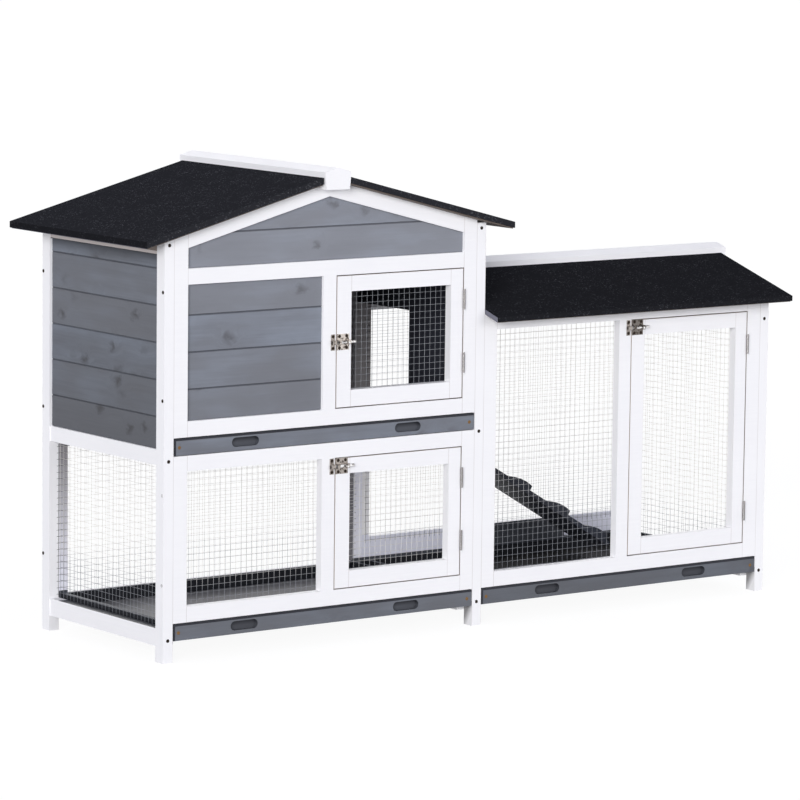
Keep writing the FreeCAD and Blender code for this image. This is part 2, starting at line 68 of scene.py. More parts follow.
# Studio: a floor under three soft lamps and a faintly blue sky. The main lamp stands low at the front left,
# so that the left side is almost as bright as the front and the eaves cast little shadow; the others light
# the right and the back. The camera sees a white sky, and a floor that glows white with a faint shadow.
WHITE_LIGHT = (1.0, 1.0, 1.0)
SKY_LIGHT = 0.46
SKY_TINT = (0.86, 0.88, 1.0)
LAMPS = {"main_lamp": (2.52, (0.74, 0.63, -0.20)),
         "fill_lamp": (0.58, (-0.30, 0.91, -0.18)),
         "back_lamp": (0.60, (-0.55, -0.80, -0.22))}
LAMP_SPREAD = 28 * pi / 180
FLOOR_REACH = 30.0
FLOOR_GLOW = 0.93
FLOOR_SHADE = 0.125
FLOOR_BOUNCE = 0.45


class Value:
    """A shader output that takes part in Python sums: each operator adds one Math node."""

    def __init__(self, finish, socket):
        self.finish = finish
        self.socket = socket

    def math(self, operation, first, second=0.0):
        return self.finish.place("Math", {"operation": operation}, {0: first, 1: second})

    def __add__(self, other):
        return self.math("ADD", self, other)

    def __radd__(self, other):
        return self.math("ADD", other, self)

    def __sub__(self, other):
        return self.math("SUBTRACT", self, other)

    def __rsub__(self, other):
        return self.math("SUBTRACT", other, self)

    def __mul__(self, other):
        return self.math("MULTIPLY", self, other)

    def __rmul__(self, other):
        return self.math("MULTIPLY", other, self)

    def __truediv__(self, other):
        return self.math("DIVIDE", self, other)

    def __rtruediv__(self, other):
        return self.math("DIVIDE", other, self)

    def __lt__(self, other):
        return self.math("LESS_THAN", self, other)

    def __gt__(self, other):
        return self.math("GREATER_THAN", self, other)

    def __abs__(self):
        return self.math("ABSOLUTE", self)

    def floor(self):
        return self.math("FLOOR", self)

    def maximum(self, other):
        return self.math("MAXIMUM", self, other)

    def spread(self, low, high):
        """Low where this value is 0, high where it is 1 and in step between."""
        return self * (high - low) + low

    def within(self, low, high):
        """1 between two limits and 0 outside them."""
        return (self > low) * (self < high)


class Finish:
    """One node tree, of a material or of the world: place adds a node, sets it and feeds its sockets."""

    def __init__(self, owner):
        self.owner = owner
        owner.use_nodes = True
        self.tree = owner.node_tree
        self.tree.nodes.clear()

    def place(self, kind, settings=None, feeds=None, output=0):
        node = self.tree.nodes.new("ShaderNode" + kind)
        for key, setting in (settings or {}).items():
            setattr(node, key, setting)
        for key, feed in (feeds or {}).items():
            socket = node.inputs[key]
            if isinstance(feed, Value):
                self.tree.links.new(feed.socket, socket)
            elif isinstance(feed, tuple) and len(socket.default_value) == 4:
                socket.default_value = (*feed, 1.0)
            else:
                socket.default_value = feed
        return Value(self, node.outputs[output]) if node.outputs else None

    def mix(self, factor, first, second):
        """A colour between two others."""
        return self.place("Mix", {"data_type": "RGBA"}, {0: factor, 6: first, 7: second}, 2)

    def part(self, vector, axis):
        """One of a vector's three parts."""
        return self.place("SeparateXYZ", None, {0: vector}, axis)

    def spot(self):
        """The three coordinates of a place on the object, in metres."""
        place = self.place("TexCoord", output="Object")
        return [self.part(place, axis) for axis in range(3)]

    def facing(self, way, beyond=0.5):
        """1 on faces that look along an axis, such as "-y", and 0 on the others."""
        along = self.part(self.place("NewGeometry", output="Normal"), "xyz".index(way[-1]))
        return along < -beyond if way[0] == "-" else along > beyond

    def scaled(self, spot, rates, lift=None):
        """Three coordinates times rates, one for all or one for each; lift is added to the third."""
        x, y, z = (axis * rate for axis, rate in zip(spot, np.broadcast_to(rates, 3)))
        return self.place("CombineXYZ", None, {0: x, 1: y, 2: z if lift is None else z + lift})

    def noise(self, spot, rates, detail, roughness=0.55, lift=None):
        """Cloudy values about 0.5; rates are clouds per metre along the three axes."""
        where = self.scaled(spot, rates, lift)
        feeds = {"Vector": where, "Scale": 1.0, "Detail": detail, "Roughness": roughness}
        return self.place("TexNoise", None, feeds)

    def cells(self, where, output, dimensions="3D"):
        """Scattered cells of about unit size: the Distance from a cell's middle, or its own random Color."""
        settings = {"voronoi_dimensions": dimensions}
        return self.place("TexVoronoi", settings, {"Vector": where, "Scale": 1.0}, output)

    def band(self, value, low, high):
        """0 below the low limit, 1 above the high one and a straight rise between."""
        return self.place("MapRange", None, {"Value": value, "From Min": low, "From Max": high})

    def surface(self, **feeds):
        """A Principled surface; Height, if given, is bump in metres."""
        feeds = {key.replace("_", " "): feed for key, feed in feeds.items()}
        height = feeds.pop("Height", None)
        if height is not None:
            feeds["Normal"] = self.place("Bump", None, {"Strength": 1.0, "Distance": 1.0, "Height": height})
        shader = self.place("BsdfPrincipled", None, feeds)
        self.place("OutputMaterial", None, {"Surface": shader})
        return self.owner


def material(name):
    """An empty material's node tree."""
    return Finish(bpy.data.materials.new(name))


def seen(finish):
    """1 for rays from the camera, in gloss and through glass, 0 for the light that falls on the object."""
    ray = finish.place("LightPath", output="Is Camera Ray")
    for name in ("Is Glossy Ray", "Is Transmission Ray"):
        ray = ray.maximum(finish.place("LightPath", output=name))
    return ray


sky = Finish(bpy.context.scene.world or bpy.data.worlds.new("studio"))
bpy.context.scene.world = sky.owner
shown = seen(sky)
backdrop = sky.place("Background", None, {"Color": sky.mix(shown, SKY_TINT, WHITE_LIGHT),
                                          "Strength": shown.spread(SKY_LIGHT, 1.0)})
sky.place("OutputWorld", None, {"Surface": backdrop})

for name, (energy, direction) in LAMPS.items():
    light = bpy.data.lights.new(name, "SUN")
    light.energy = energy
    light.angle = LAMP_SPREAD
    lamp = bpy.data.objects.new(name, light)
    bpy.context.collection.objects.link(lamp)
    lamp.rotation_euler = Vector(direction).to_track_quat("-Z", "Y").to_euler()

floor_finish = material("studio_floor")
chalk = floor_finish.place("BsdfDiffuse", None, {"Color": (FLOOR_BOUNCE,) * 3})
shadow = floor_finish.place("BsdfDiffuse", None, {"Color": (FLOOR_SHADE,) * 3})
glow = floor_finish.place("Emission", None, {"Color": WHITE_LIGHT, "Strength": FLOOR_GLOW})
lit = floor_finish.place("AddShader", None, {0: glow, 1: shadow})
both = floor_finish.place("MixShader", None, {0: seen(floor_finish), 1: chalk, 2: lit})
floor_finish.place("OutputMaterial", None, {"Surface": both})
floor_corners = [(x * FLOOR_REACH, y * FLOOR_REACH, 0.0) for x, y in ((-1, -1), (1, -1), (1, 1), (-1, 1))]
floor_mesh = bpy.data.meshes.new("studio_floor")
floor_mesh.from_pydata(floor_corners, [], [(0, 1, 2, 3)])
floor_mesh.materials.append(floor_finish.owner)
studio_floor = bpy.data.objects.new("studio_floor", floor_mesh)
bpy.context.collection.objects.link(studio_floor)


# White timber: planed softwood posts, rails and stiles, screwed and stapled into frames, with a brushed coat
# of white paint that the grain and a few knots show through. The saw-cut edges in the gaps round the doors
# are bare. Painted shadow darkens the sides of the door openings, two feet and the strip under the left
# eave, and the top of the left wall's bottom rail is dark towards the front.
ROOMS = ("upper", "lower", "run")
WHITE = (0.917, 0.910, 0.924)
WHITE_SHADE = (0.878, 0.871, 0.892)
PAINT_KNOT = (0.74, 0.71, 0.69)
SEAM_STAIN = (0.55, 0.51, 0.49)
BARE_EDGE = (0.62, 0.54, 0.49)
GAP_SHADOW_PAINT = (0.30, 0.26, 0.24)
FOOT_SHADOW = (0.12, 0.115, 0.12)
DARK_BAND_AND_SHADOW = (0.040, 0.044, 0.054)
EAVE_STRIP_SHADE = (0.66, 0.595, 0.575)
EAVE_BROWN_SHADOW = (0.20, 0.155, 0.13)
EAVE_SHADOW_LINE = (0.045, 0.046, 0.055)
GRAIN_ALONG = 9.0
GRAIN_ACROSS = 260.0
BRUSH_MARKS = 0.00012
PAINT_ROUGH = (0.40, 0.56)
PAINT_CLOUDS = 5.0
PAINT_SHARES = (0.6, 0.4)
PAINT_REACH = (0.40, 0.75)
PAINT_KNOTS = 7.0
PAINT_KNOT_FRAY = 0.05
PAINT_KNOT_REACH = (0.02, 0.07)
PAINT_KNOT_DEPTH = 0.22
SEAM_WIDTH = 0.0005
SEAM_DEPTH = 1.2
EDGE_DEPTH = 0.0003
DOOR_GAP = 0.004
STILE = 0.031
RUN_STILE = 0.035
DOOR_STILE = 0.034
DOOR_HINGE_STILE = 0.0295
FOOT_TOP = 0.05
FOOT_SLANT = 1.7
FOOT_SHADE = (0.029, 0.057)
FOOT_DEPTH = 0.8
BOTTOM_RAIL_BELOW = 0.1
DARK_TOP_END = 0.160
EAVE_LAP = 0.001
EAVE_STRIP = (0.0018, 0.0074)

post_limits = {name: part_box(name) for name in nodes if name.endswith("_post")}
front_plane = post_limits["front_left_post"][0][1]
house_left = post_limits["front_left_post"][1][0]
house_right, run_left = (post_limits["front_middle_post"][side][0] for side in (0, 1))
run_right = post_limits["front_right_post"][0][0]
plate_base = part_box("left_wall_boards")[1][2]
post_seams = (house_left, house_right, run_left, run_right)
house_seams = (house_left, house_left + STILE, house_right - STILE, house_right)
run_seams = (run_left, run_left + STILE, run_right - RUN_STILE, run_right)


def white_paint(name, along, seams=(), edges=None, tones=None):
    """Brushed white paint over grain that runs along one axis.

    Seams are places in x where stiles meet rails; edges are the limits in x and z of a door, left bare.
    Tones, given the finish and a place, lists masks and colours for what is not white: painted shade
    and dark bands.
    """
    finish = material(name)
    x, y, z = spot = finish.spot()
    grain = [GRAIN_ALONG if axis == along else GRAIN_ACROSS for axis in "xyz"]
    streak = finish.noise(spot, grain, detail=3.0)
    cloud = finish.noise(spot, PAINT_CLOUDS, detail=2.0)
    knot = finish.cells(finish.scaled(spot, PAINT_KNOTS), "Distance") + (streak - 0.5) * PAINT_KNOT_FRAY
    uneven = finish.band(cloud * PAINT_SHARES[0] + streak * PAINT_SHARES[1], *PAINT_REACH)
    tone = finish.mix(uneven, WHITE, WHITE_SHADE)
    tone = finish.mix((1 - finish.band(knot, *PAINT_KNOT_REACH)) * PAINT_KNOT_DEPTH, tone, PAINT_KNOT)
    faced = finish.facing("-y").maximum(finish.facing("y"))
    for seam in seams:
        line = (abs(x - seam) < SEAM_WIDTH) * faced
        tone = finish.mix(line * (cloud * SEAM_DEPTH), tone, SEAM_STAIN)
    if edges:
        (left, right), (base, top) = edges
        across = x.within(left + EDGE_DEPTH, right - EDGE_DEPTH)
        painted = across * z.within(base + EDGE_DEPTH, top - EDGE_DEPTH)
        tone = finish.mix(painted, BARE_EDGE, tone)
    if tones:
        for mask, colour in tones(finish, x, y, z):
            tone = finish.mix(mask, tone, colour)
    return finish.surface(Base_Color=tone, Roughness=streak.spread(*PAINT_ROUGH), Height=streak * BRUSH_MARKS)


def coat(names, finish):
    """Give CAD nodes one finish."""
    for name in names:
        slots = nodes[name].data.materials
        slots.clear()
        slots.append(finish)


def painted_foot_shadow(finish, x, y, z):
    """Painted shadow on the left side of a foot, on a slant from its back upper corner."""
    slant_shadow = finish.band(z + (y - front_plane) * FOOT_SLANT, *FOOT_SHADE) * FOOT_DEPTH
    return [(slant_shadow * finish.facing("-x") * (z < FOOT_TOP), FOOT_SHADOW)]


def painted_gap_shadow(*doors):
    """Painted shadow on the sides of the openings that doors close."""
    limits = [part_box(door + "_door_frame") for door in doors]

    def tones(finish, x, y, z):
        """Painted shadow on the sides that look along x or z, up to each door and the gap round it."""
        side = 1 - finish.facing("-y").maximum(finish.facing("y"))
        return [(x.within(low[0] - DOOR_GAP, high[0] + DOOR_GAP)
                 * z.within(low[2] - DOOR_GAP, high[2] + DOOR_GAP) * side, GAP_SHADOW_PAINT) for low, high in limits]

    return tones


def left_rail_dark_and_shade(finish, x, y, z):
    """The top of the bottom rail, dark towards the front; and painted shade on the strip of the top rail
    under the eave, with a dark shadow line along its foot and brown shadow above it.
    """
    outer = finish.facing("-x")
    strip = (z > plate_base - EAVE_LAP) * outer
    dark_top = finish.facing("z") * (z < BOTTOM_RAIL_BELOW) * (y < DARK_TOP_END)
    return [(dark_top, DARK_BAND_AND_SHADOW), (strip, EAVE_STRIP_SHADE),
            (strip * (z < plate_base + EAVE_STRIP[0]), EAVE_SHADOW_LINE),
            (strip * (z > plate_base + EAVE_STRIP[1]), EAVE_BROWN_SHADOW)]


# These two posts carry painted shadow on the left sides of their feet.
foot_shaded_posts = ["front_middle_post", "front_right_post"]
coat([post for post in post_limits if post not in ["back_middle_post", *foot_shaded_posts]],
     white_paint("post_paint", "z", post_seams))
coat(foot_shaded_posts, white_paint("foot_shadow_post_paint", "z", post_seams, tones=painted_foot_shadow))
coat(["upper_front_frame", "lower_front_frame", "house_rafters"],
     white_paint("house_frame_paint", "x", house_seams, tones=painted_gap_shadow("upper", "lower")))
coat(["run_front_frame"], white_paint("run_frame_paint", "x", run_seams, tones=painted_gap_shadow("run")))
coat(["run_ridge_beam"], white_paint("run_beam_paint", "x"))
coat(["right_wall_rails", "run_end_rails", "run_end_gable", "ridge_beam", "tray_runners"],
     white_paint("side_rail_paint", "y"))
coat(["left_wall_rails"], white_paint("left_rail_paint", "y", tones=left_rail_dark_and_shade))
for room in ROOMS:
    low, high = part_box(room + "_door_frame")
    seams = (low[0] + DOOR_STILE, high[0] - DOOR_HINGE_STILE)
    limits = ((low[0], high[0]), (low[2], high[2]))
    coat([room + "_door_frame"], white_paint(room + "_door_paint", "x", seams, limits))


# Back frames: the same white timber, screwed between the back posts. Painted shade gives the faces that
# look into the rooms a cooler white, and darkens them in the upper room, beside the lower room and where
# the rail passes behind the foot of the ramp. A dark band runs along their feet, next to the trays.
ROOM_SHADOW = (0.20, 0.185, 0.190)
SIDE_SHADOW = (0.115, 0.110, 0.122)
BACK_SHADE_WHITE = (0.853, 0.851, 0.933)
RUN_BACK_SHADE_WHITE = (0.77, 0.775, 0.88)
UPPER_FLOOR = 0.405
FLOOR_BLUR = 0.002
BACK_STILE = 0.0205
RUN_BACK_STILE = 0.018
STILE_SHADE = (0.10, 0.34)
STILE_DEPTH = 0.85
DARK_FOOT_TOP = 0.0775
RUN_RAIL_TOP = 0.125
RAMP_SHADE = (0.257, 0.006)

ramp_low, ramp_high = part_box("ramp")
shade_span = (ramp_low[0] + RAMP_SHADE[0], ramp_high[0] - RAMP_SHADE[1])
run_back_seams = (run_left + RUN_BACK_STILE, run_right - RUN_BACK_STILE)


def room_painted_shade(finish, x, y, z):
    """Painted shade: a cooler white on the faces inside the rooms, dark on the face inside the upper
    room, on the narrow stile of the lower room, darker towards its top, and on the side that looks into
    the lower room. A dark band runs along the foot, next to the tray.
    """
    inside = finish.facing("-y")
    stile = finish.band(z, *STILE_SHADE) * (x < house_left + BACK_STILE) * inside * STILE_DEPTH
    upper = finish.band(z, UPPER_FLOOR - FLOOR_BLUR, UPPER_FLOOR + FLOOR_BLUR)
    side = finish.facing("-x") * (1 - upper)
    return [(inside, BACK_SHADE_WHITE), (stile, ROOM_SHADOW), (upper * inside, ROOM_SHADOW), (side, SIDE_SHADOW),
            ((z < DARK_FOOT_TOP) * inside, DARK_BAND_AND_SHADOW)]


def run_back_painted_shade(finish, x, y, z):
    """Painted shade on the lower rail, the stile by the doorway and behind the ramp's foot; a darker foot."""
    inside = finish.facing("-y")
    beside = (x < run_left + RUN_BACK_STILE) * (z > UPPER_FLOOR)
    behind = x.within(*shade_span) * (z < RUN_RAIL_TOP)
    return [((z < RUN_RAIL_TOP) * inside, RUN_BACK_SHADE_WHITE), (beside * inside, ROOM_SHADOW),
            (behind.maximum(z < DARK_FOOT_TOP) * inside, DARK_BAND_AND_SHADOW)]


coat(["back_middle_post"], white_paint("back_post_paint", "z", tones=room_painted_shade))
coat(["back_wall_frame"], white_paint("back_frame_paint", "x", house_seams, tones=room_painted_shade))
coat(["run_back_frame"], white_paint("run_back_paint", "x", run_back_seams, tones=run_back_painted_shade))


# Grey boards: tongued softwood boards, nailed level into the frames, with a thin grey stain that lets the
# grain and knots show. Each has its own tone, some browner, and the left wall's is darker with painted shade.
# The tray fronts have the same stain, a shade darker, and the ramp's is darkened much further with painted
# shade. Rates of three are along, across and up a board.
STAIN_LIGHT = (0.243, 0.268, 0.318)
STAIN_DARK = (0.165, 0.180, 0.215)
STAIN_BROWN = (0.196, 0.200, 0.220)
STAIN_KNOT = (0.080, 0.078, 0.086)
SEAM_AND_SHADE_DARK = (0.020, 0.021, 0.028)
INSIDE_SHADE = (0.021, 0.022, 0.031)
RAMP_STAIN_AND_SHADE = (0.120, 0.125, 0.155)
TRAY_SHADES = {"upper": 0.85, "lower": 0.66, "run": 0.54}
FRONT_SHADE = 1.087
GABLE_SHADE = 1.17
LEFT_PAINTED_SHADE = 0.72
BOARD_PITCH = 0.070
BOARD_SHIFT = 9.0
BOARD_SEED = 3.7
FRONT_FIRST = 0.0595
GABLE_FIRST = 0.0645
SIDE_FIRST = 0.061
BOARD_SEAM = (0.0018, 0.50)
LEFT_SEAM = (0.0018, 0.42)
NO_SEAM = (0.0, 0.0)
BOARD_KNOTS = (0.62, 0.55, 0.16)
FRONT_KNOTS = (0.56, 0.6, 0.20)
LEFT_KNOTS = (0.31, 0.78, 0.20)
KNOT_CELLS = (12.0, 14.0)
KNOT_WARP = (0.55, 0.40)
KNOT_CHOICE = 0.3
KNOT_HEART = 0.03
KNOT_FRAY = 0.10
KNOT_BEND = (0.0, 0.45)
WARP_RATE = (45.0, 0.0, 70.0)
RING_RATE = (3.0, 30.0, 60.0)
FIBRE_RATE = (9.0, 300.0, 300.0)
CLOUD_RATE = (5.0, 9.0, 16.0)
RING_REACH = (0.30, 0.72)
CLOUD_REACH = (0.36, 0.66)
TONE_SHARES = (0.50, 0.60, 0.75)
TONE_START = 0.42
BROWN_SHARE = 0.5
BROWN_REACH = (0.45, 0.95)
BROWN_DEPTH = 0.7
RING_BEND = 3.0
FIBRE_BEND = 9.0
GRAIN_RELIEF = 0.0002
STAIN_ROUGH = (0.50, 0.70)
FADE_SPAN = (-1.0, 3.6)
FADE_DEPTH = 0.30
FRONT_FADE = 0.77
LEFT_FADE = 1.0
EAVE_SHADE = 0.022
EAVE_DEPTH = 0.67
TRAY_RIM_SHADOW = 0.0042
PULL_DEPTH = 0.0005
PULL_SHADE = (-0.002, 0.005)
PULL_DARK = (0.66, 0.98)


def shaded(colour, by):
    """A colour times a number or a tint."""
    return tuple(np.multiply(colour, by))


def grey_stain(name, along, first, shade=1.0, seam=BOARD_SEAM, knotty=BOARD_KNOTS, fade=0.0, eave=None,
               inside=False, front=None):
    """Grey stain on boards that run along x or y: streaks drawn out along each board, bent round its knots.

    First is the height of the lowest seam between boards. Seam is half the dark line's width and its
    strength; knotty is the share of places without a knot, the knots' strength and their reach. Fade darkens
    the lower boards. Eave is the height of a top edge darkened with painted shade. Inside is for the wall
    between the rooms, painted with shade on all sides but the one towards the run. Front is the box of a tray
    front, whose finger pulls, upper edge and left end carry painted shade.
    """
    finish = material(name)
    x, y, z = finish.spot()
    run, across = (x, y) if along == "x" else (y, x)
    level = (z - first) / BOARD_PITCH
    board = level.floor()
    seed = finish.place("TexWhiteNoise", {"noise_dimensions": "1D"}, {"W": board + BOARD_SEED}, "Value")
    start = run + seed * BOARD_SHIFT
    spot = (start, across, z)
    warp = finish.noise(spot, WARP_RATE, detail=2.0) - 0.5
    cell = finish.place("CombineXYZ", None, {0: start * KNOT_CELLS[0] + warp * KNOT_WARP[0],
                                             1: z * KNOT_CELLS[1] - warp * KNOT_WARP[1]})
    knots = finish.cells(cell, "Distance", "2D")
    chance = finish.part(finish.cells(cell, "Color", "2D"), 0)
    chosen = finish.band(chance, knotty[0], knotty[0] + KNOT_CHOICE)
    bend = (1 - finish.band(knots, *KNOT_BEND)) * chosen
    rings = finish.noise(spot, RING_RATE, detail=5.0, roughness=0.65, lift=bend * RING_BEND)
    fibre = finish.noise(spot, FIBRE_RATE, detail=3.0, lift=bend * FIBRE_BEND)
    cloud = finish.noise(spot, CLOUD_RATE, detail=3.0)
    heart = (1 - finish.band(knots + (fibre - 0.5) * KNOT_FRAY, KNOT_HEART, knotty[2])) * chosen
    streaks = (finish.band(rings, *RING_REACH), fibre, finish.band(cloud, *CLOUD_REACH))
    tone = sum(streak * share for streak, share in zip(streaks, TONE_SHARES)) - TONE_START
    tones = (STAIN_LIGHT, STAIN_DARK, STAIN_BROWN, STAIN_KNOT)
    light, dark, brown, knot = (shaded(stain, shade) for stain in tones)
    colour = finish.mix(tone, light, dark)
    colour = finish.mix(finish.band(cloud + seed * BROWN_SHARE, *BROWN_REACH) * BROWN_DEPTH, colour, brown)
    colour = finish.mix(heart * knotty[1], colour, knot)
    if fade:
        dim = 1 - (1 - finish.band(level, *FADE_SPAN)) * (fade * FADE_DEPTH)
        colour = finish.place("VectorMath", {"operation": "SCALE"}, {0: colour, "Scale": dim})
    clear = (level - board).within(seam[0] / BOARD_PITCH, 1 - seam[0] / BOARD_PITCH)
    colour = finish.mix((1 - clear) * seam[1], colour, SEAM_AND_SHADE_DARK)
    # Painted shade below the eave, darkest at the top edge.
    if eave:
        colour = finish.mix(finish.band(z, eave - EAVE_SHADE, eave) * EAVE_DEPTH, colour, SEAM_AND_SHADE_DARK)
    # Painted shade on every side of the wall between the rooms but the one towards the run.
    if inside:
        colour = finish.mix(finish.facing("x"), INSIDE_SHADE, colour)
    # Painted shade in the finger pulls, and painted shadow along the upper edge and left end.
    if front:
        low, high = front
        middle = (low[2] + high[2]) / 2
        upper = finish.band(z, middle + PULL_SHADE[0], middle + PULL_SHADE[1])
        pull_shade = (y > low[1] + PULL_DEPTH) * upper.spread(*PULL_DARK)
        rim_shadow = (z > high[2] - TRAY_RIM_SHADOW).maximum(x < low[0] + TRAY_RIM_SHADOW)
        colour = finish.mix(pull_shade.maximum(rim_shadow), colour, SEAM_AND_SHADE_DARK)
    relief = fibre * GRAIN_RELIEF + rings * GRAIN_RELIEF
    return finish.surface(Base_Color=colour, Roughness=fibre.spread(*STAIN_ROUGH), Height=relief,
                          Specular_IOR_Level=0.3)


front_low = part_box("front_wall_boards")[0][2] + FRONT_FIRST
side_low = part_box("left_wall_boards")[0][2] + SIDE_FIRST
gable_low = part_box("front_gable_boards")[0][2] + GABLE_FIRST
coat(["front_wall_boards"],
     grey_stain("front_board_stain", "x", front_low, FRONT_SHADE, BOARD_SEAM, FRONT_KNOTS, FRONT_FADE))
coat(["front_gable_boards"], grey_stain("gable_board_stain", "x", gable_low, GABLE_SHADE))
coat(["back_wall_boards"], grey_stain("back_board_stain", "x", front_low))
# The left boards are darker than the front ones: painted shade.
coat(["left_wall_boards"],
     grey_stain("left_board_stain", "y", side_low, LEFT_PAINTED_SHADE, LEFT_SEAM, LEFT_KNOTS, LEFT_FADE, plate_base))
coat(["right_wall_boards"], grey_stain("right_board_stain", "y", side_low, inside=True))
for room, shade in TRAY_SHADES.items():
    board = room + "_tray_front"
    coat([board], grey_stain(board + "_stain", "x", 0.0, shade, NO_SEAM, front=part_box(board)))
# Painted shade darkens the ramp's stain to near black.
coat(["ramp"], grey_stain("ramp_stain", "x", 0.0, RAMP_STAIN_AND_SHADE, NO_SEAM))


# Tray pans: thin boards nailed round a ply floor, with the same stain, darkened with painted shade to nearly
# black on the upright faces. Use has left dust on the floors, in long streaks, and rubbed the rims paler.
# The floors of the house's pans are lightened with painted light, the run's darkened with painted shade.
PAN_SIDE_SHADE = (0.010, 0.011, 0.015)
PAN_FLOOR = (0.095, 0.095, 0.102)
PAN_DUST = (0.140, 0.138, 0.145)
PAN_RIM = (0.070, 0.078, 0.096)
PAN_PAINTED_LIGHT = {"upper": 1.6, "lower": 1.6, "run": 0.20}
RIM_DEPTH = 0.002
DUST_RATE = (3.0, 14.0, 14.0)
PLY_RATE = (12.0, 300.0, 300.0)
DUST_SHARES = (0.8, 0.2)
DUST_REACH = (0.35, 0.70)


def pan_stain(name, shade, top):
    """Dark stain with painted shade on upright faces, dust on what faces up and paler rims at the top."""
    finish = material(name)
    x, y, z = spot = finish.spot()
    dust = finish.noise(spot, DUST_RATE, detail=5.0)
    fibre = finish.noise(spot, PLY_RATE, detail=2.0)
    streaks = finish.band(dust * DUST_SHARES[0] + fibre * DUST_SHARES[1], *DUST_REACH)
    floor = finish.mix(streaks, shaded(PAN_FLOOR, shade), shaded(PAN_DUST, shade))
    colour = finish.mix(finish.facing("z"), PAN_SIDE_SHADE, finish.mix(z > top - RIM_DEPTH, floor, PAN_RIM))
    return finish.surface(Base_Color=colour, Roughness=fibre.spread(*STAIN_ROUGH),
                          Height=fibre * GRAIN_RELIEF, Specular_IOR_Level=0.2)


# Each pan's floor is scaled: painted light in the house's pans, painted shade in the run's.
for room, shade in PAN_PAINTED_LIGHT.items():
    pan = room + "_tray_pan"
    coat([pan], pan_stain(pan + "_stain", shade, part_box(pan)[1][2]))


# Roof: boards under black mineral felt, which is folded over their eaves and ends and tacked beneath.
# The felt's grit catches the light in fine specks. Painted shade darkens its folds at the left and all of
# the run's felt. The boards are plain and brown, grey on their left ends.
FELT_BLACK = (0.0255, 0.0260, 0.0305)
FELT_GRIT = (0.120, 0.122, 0.136)
FELT_FOLD_SHADE = (0.002, 0.002, 0.003)
FOLD_SHADE_DEPTH = 0.5
FOLD_FACING = 0.8
RUN_FELT_PAINTED_SHADE = 0.62
FELT_ROUGH = (0.65, 0.90)
GRIT_RATE = 520.0
GRIT_REACH = (0.86, 1.0)
GRIT_RELIEF = 0.0004
FELT_CLOUDS = 30.0
FELT_REACH = (0.30, 0.65)
FELT_RELIEF = 0.001
ROOF_BROWN = (0.16, 0.125, 0.105)
ROOF_END = (0.125, 0.125, 0.160)
ROOF_ROUGH = (0.55, 0.75)
ROOF_GRAIN = (6.0, 90.0, 90.0)
ROOF_GRAIN_SHADE = 0.6
ROOF_RELIEF = 0.0003
END_FACING = 0.9


def mineral_felt(name, shade):
    """Bitumen felt: coarse unevenness, grit in small bright cells, painted shade on the left folds."""
    finish = material(name)
    spot = finish.spot()
    bright = finish.part(finish.cells(finish.scaled(spot, GRIT_RATE), "Color"), 0)
    cloud = finish.noise(spot, FELT_CLOUDS, detail=3.0)
    speck = finish.band(bright, *GRIT_REACH) * finish.band(cloud, *FELT_REACH)
    colour = finish.mix(speck, shaded(FELT_BLACK, shade), shaded(FELT_GRIT, shade))
    colour = finish.mix(finish.facing("-x", FOLD_FACING) * FOLD_SHADE_DEPTH, colour, FELT_FOLD_SHADE)
    return finish.surface(Base_Color=colour, Roughness=bright.spread(*FELT_ROUGH),
                          Height=bright * GRIT_RELIEF + cloud * FELT_RELIEF, Specular_IOR_Level=0.0)


def roof_board(name):
    """Plain brown board with level grain, grey on its left end."""
    finish = material(name)
    streak = finish.noise(finish.spot(), ROOF_GRAIN, detail=4.0)
    colour = finish.mix(streak, ROOF_BROWN, shaded(ROOF_BROWN, ROOF_GRAIN_SHADE))
    colour = finish.mix(finish.facing("-x", END_FACING), colour, ROOF_END)
    return finish.surface(Base_Color=colour, Roughness=streak.spread(*ROOF_ROUGH),
                          Height=streak * ROOF_RELIEF)


coat(["house_roof_felt"], mineral_felt("house_felt", 1.0))
# The run's felt is darker than the house's: painted shade.
coat(["run_roof_felt"], mineral_felt("run_felt", RUN_FELT_PAINTED_SHADE))
coat([name for name in nodes if name.endswith("_roof_panel")], roof_board("roof_board"))


# Welded mesh: galvanised wires every half inch, upright ones stapled to the frame and level ones welded over
# them. Each wire is drawn straight and has bent a hair's breadth here and there. The zinc is soiled low down,
# is painted dark with shadow where a panel laps a back frame, and has dulled in the upper door.
WIRE_PITCH = 0.0127
WIRE_RADIUS = 0.00030
WIRE_BEND = 0.00010
SWAY_RATE = (1.5, 4.0)
SWAY_SHARE = (0.2, 1.0)
WIRE_SIDES = 6
WIRE_RINGS = 25
CAD_WIRE = 0.001
WELD = 0.9
ROUNDING = 1e-6
UPRIGHT = 0.9
ZINC = (0.84, 0.815, 0.79)
ZINC_DULL = (0.735, 0.71, 0.685)
ZINC_SOILED = (0.25, 0.26, 0.29)
ZINC_LAP_SHADOW = (0.035, 0.036, 0.045)
UPPER_SHINE = (0.42, 0.45, 0.50)
SOILED_BELOW = (0.13, 0.17)
RUN_SOILED_BELOW = (0.16, 0.46)
ZINC_ROUGH = (0.35, 0.60)
SPANGLE_RATE = 160.0
SPANGLE_RELIEF = 0.00004
RUN_BACK_LAP = 0.013
BACK_LAP = 0.006
PANELS = (("lower_front_mesh", 1, "hutch"), ("lower_back_mesh", -1, "hutch"), ("left_wall_mesh", 1, "hutch"),
          ("run_front_mesh", 1, "hutch"), ("run_back_mesh", -1, "hutch"), ("run_end_mesh", -1, "hutch"),
          ("upper_door_mesh", 1, "upper_door"), ("lower_door_mesh", 1, "lower_door"),
          ("run_door_mesh", 1, "run_door"))


